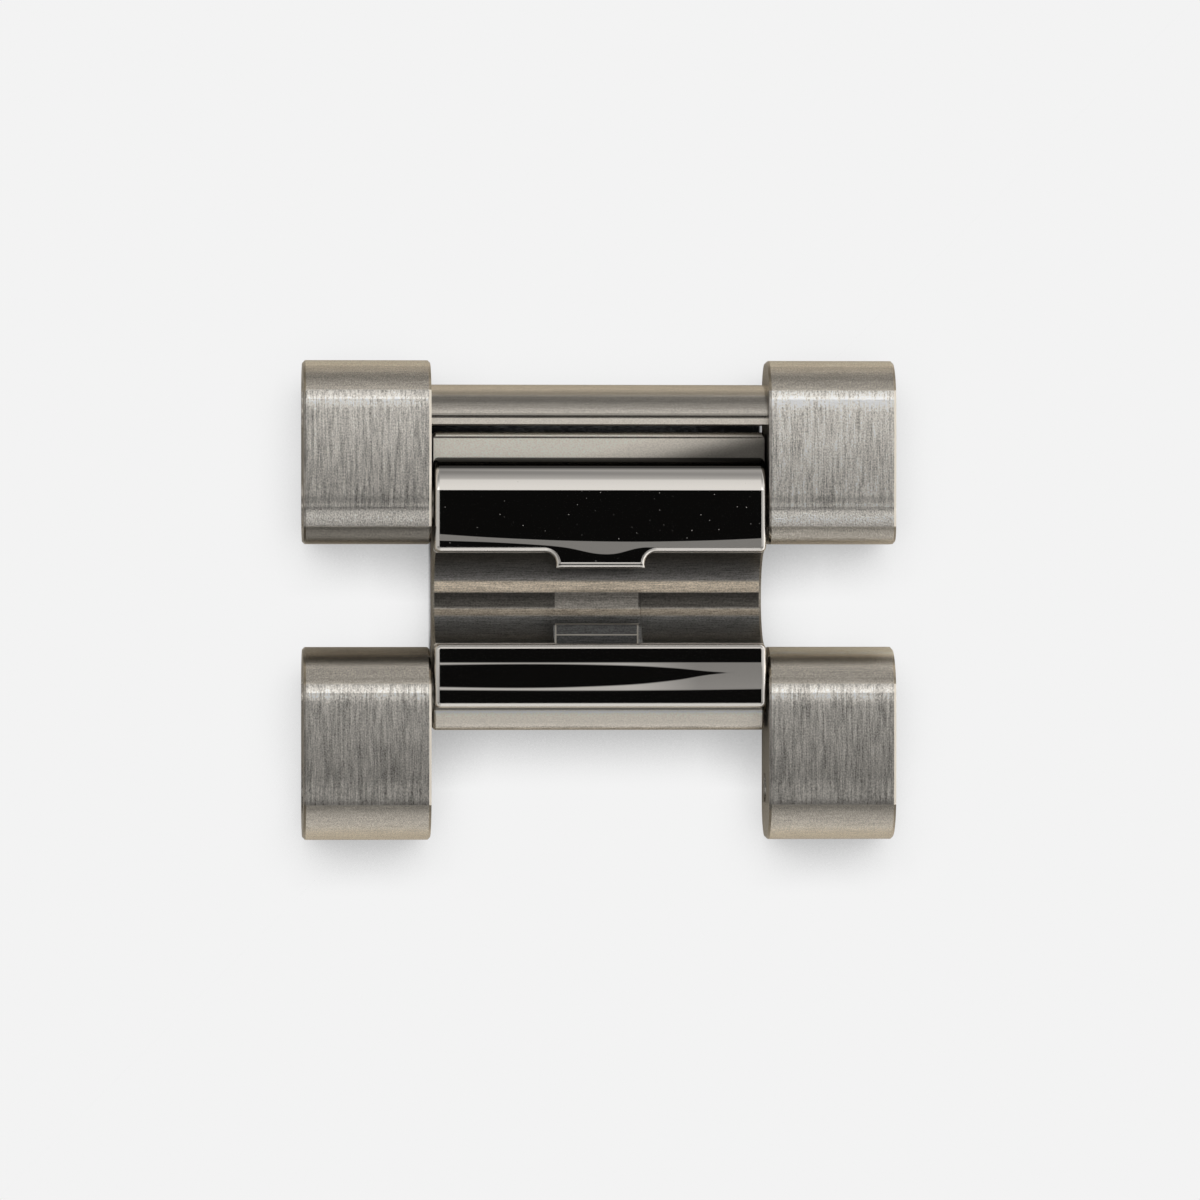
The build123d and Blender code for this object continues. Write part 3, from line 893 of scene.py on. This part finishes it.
# %% Pale ledges
ledge_shade_tones = [
    (0.3, 1.08), (1.5, 0.95), (2.2, 0.88), (2.87, 0.74), (3.2, 0.64), (3.55, 0.53), (3.88, 0.42),
    (4.22, 0.33), (4.56, 0.25), (4.9, 0.2), (5.4, 0.16),
]
ledge_shade_middle = 5.17
ledge_shade_slant = 4.0
upper_ledge = (4.0, 5.8)
ledge_contrast = (0.85, 1.1)
ledge_shade_blur = 0.1


def pale_ledge(tree, spot, texture):
    """The pale, blasted steel of the ledges, with painted light and shade along the lower ledge and
    a painted shade towards the upper ledge's right end.
    """
    low, high = ledge_contrast
    grain = add(tree, "Mix", {"Factor": texture, "A": low, "B": high})
    behind = add(tree, "Math", {0: spot["Y"], 1: ledge_shade_middle}, operation="SUBTRACT")
    slanted = {0: behind, 1: -ledge_shade_slant, 2: spot["X"]}
    right_end_shade = tone_along(tree, add(tree, "Math", slanted, operation="MULTIPLY_ADD"), ledge_shade_tones)
    back = band(tree, spot["Y"], *upper_ledge, ledge_shade_blur)
    ledge_shade = add(tree, "Mix", {"Factor": back, "A": grey(1.0), "B": right_end_shade}, **of_colours)
    colour = pale_colour
    for shade in (grain, tone_along(tree, spot["Y"], lower_ledge_painted_light), ledge_shade):
        colour = add(tree, "Mix", {"Factor": 1.0, "A": colour, "B": shade}, **multiplied)
    return colour


print("The upper ledge's tones go from", ledge_shade_tones[0][1], "to", ledge_shade_tones[-1][1])

# %% [markdown]
# All that isn't an outer link or a polished bar is satin: ground across the bracelet with a finer
# belt, the screws and tubes turned. One function makes these finishes. It lays the pale ledge
# over the ground steel where a face is high enough, far enough forward and level.

# %% Satin steel
level_turn = 0.3
satin_anisotropy = 0.5
ledge_roughness = 0.5
ledge_blur = 0.04
level_blur = 0.3
satin_mark = {"width": 0.03, "length": 0.7, "crisp": 0.45}
grit_mark = {"width": 0.045, "length": 0.06, "crisp": 0.5}
grit_share = 0.55


def satin_steel(name, pale_above, pale_before, roughness, coarseness, finish=None):
    """Steel ground across, pale where level above one height and before one place."""
    material, tree, place, spot, normal = new_steel(name)
    facing = add(tree, "SeparateXYZ", {"Vector": normal}).node.outputs
    high = band(tree, spot["Z"], pale_above, far, ledge_blur)
    before = band(tree, spot["Y"], -far, pale_before, ledge_blur)
    level = band(tree, facing["Z"], level_turn, far, level_blur)
    pale = add(tree, "Math", {0: high, 1: before}, operation="MULTIPLY")
    ledge = add(tree, "Math", {0: pale, 1: level}, operation="MULTIPLY")
    marks = scratches(tree, place, along_x=True, **satin_mark)
    grit = scratches(tree, place, along_x=True, **grit_mark)
    ground = add(tree, "Mix", {"Factor": grit_share, "A": marks, "B": grit})
    texture = add(tree, "Mix", {"Factor": ledge, "A": ground, "B": grit})
    contrast = {"Factor": texture, "A": 1 - coarseness, "B": 1 + coarseness}
    shaded = {"Factor": 1.0, "A": satin_colour, "B": add(tree, "Mix", contrast)}
    colour = add(tree, "Mix", shaded, **multiplied)
    if finish:
        colour = finish(tree, spot, colour)
    both = {"Factor": ledge, "A": colour, "B": pale_ledge(tree, spot, texture)}
    colour = add(tree, "Mix", both, **of_colours)
    rough = add(tree, "Mix", {"Factor": ledge, "A": roughness, "B": ledge_roughness})
    depth = mark_depth * coarseness
    steel_surface(tree, colour, rough, satin_anisotropy, 0.0, texture, depth)
    return material


print("Satin marks are this wide in mm:", satin_mark["width"])

# %% [markdown]
# The body is ground coarser than the cross bar. The screws, tubes and dowels are turned, which
# leaves the finest marks, and they have no ledge.

# %% Body, cross bar and pins
body_look = {"pale_above": 2.3, "pale_before": far, "roughness": 0.3, "coarseness": 0.7}
cross_bar_look = {"pale_above": 2.6, "pale_before": 6.15, "roughness": 0.2, "coarseness": 0.24}
pin_look = {"pale_above": far, "pale_before": far, "roughness": 0.25, "coarseness": 0.15}
body_steel = satin_steel("satin_body_steel", **body_look, finish=seat_painted_light)
cross_bar_steel = satin_steel("satin_cross_bar_steel", **cross_bar_look, finish=cross_bar_painted_reflections)
pin_steel = satin_steel("turned_pin_steel", **pin_look)
print("Satin steels:", [steel.name for steel in (body_steel, cross_bar_steel, pin_steel)])

# %% [markdown]
# Each piece keeps the shape that the CAD model gives it and gets the finish that its maker gave
# it. The pieces without one of their own are the screws, the tubes and the dowels.

# %% Finish for each piece
finishes = {
    **outer_finishes,
    "centre_link_body": body_steel,
    "upper_polished_bar": upper_bar_steel,
    "lower_polished_bar": lower_bar_steel,
    "upper_cross_bar": cross_bar_steel,
}
for name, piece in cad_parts.items():
    for slot in piece.material_slots:
        slot.material = finishes.get(name, pin_steel)
print("Pieces with a finish of their own:", len(finishes), "of", len(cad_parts))

# %% [markdown]
# The photograph was taken from about 280 mm above, a little to the left of the middle, so that
# thin slivers of the left-hand faces show. A long lens fills the frame with 40 mm of bench.

# %% The camera
camera_height = 282 * mm
camera_left = 18 * mm
camera_aim = Vector((-0.03 * mm, 0, 3.25 * mm))
view_width = 40.4 * mm
camera_data = bpy.data.cameras.new("bench_camera")
camera = bpy.data.objects.new("bench_camera", camera_data)
bpy.context.scene.collection.objects.link(camera)
camera.location = (-camera_left, 0, camera_height)
sight = camera_aim - camera.location
camera.rotation_euler = (0, math.atan2(-sight.x, -sight.z), 0)
camera_data.sensor_width = 36
camera_data.lens = camera_data.sensor_width * sight.length / view_width
camera_data.clip_start = 10 * mm
camera_data.clip_end = 10.0
bpy.context.scene.camera = camera
print("Lens in mm:", round(camera_data.lens, 1))

# %% [markdown]
# A finish is judged by its tones, so the picture shows each colour as it was written, without
# the film-like curve that Blender would otherwise lay over it.

# %% Colours as written
bpy.context.scene.view_settings.view_transform = "Standard"
print("View transform:", bpy.context.scene.view_settings.view_transform)

# %% [markdown]
# Last, the dressed model is measured and its box printed. Finishes add no size.

# %% The size of the dressed model
low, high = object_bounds()
print("Dressed box in mm:", [round(1000 * v, 2) for v in (*low, *high)])
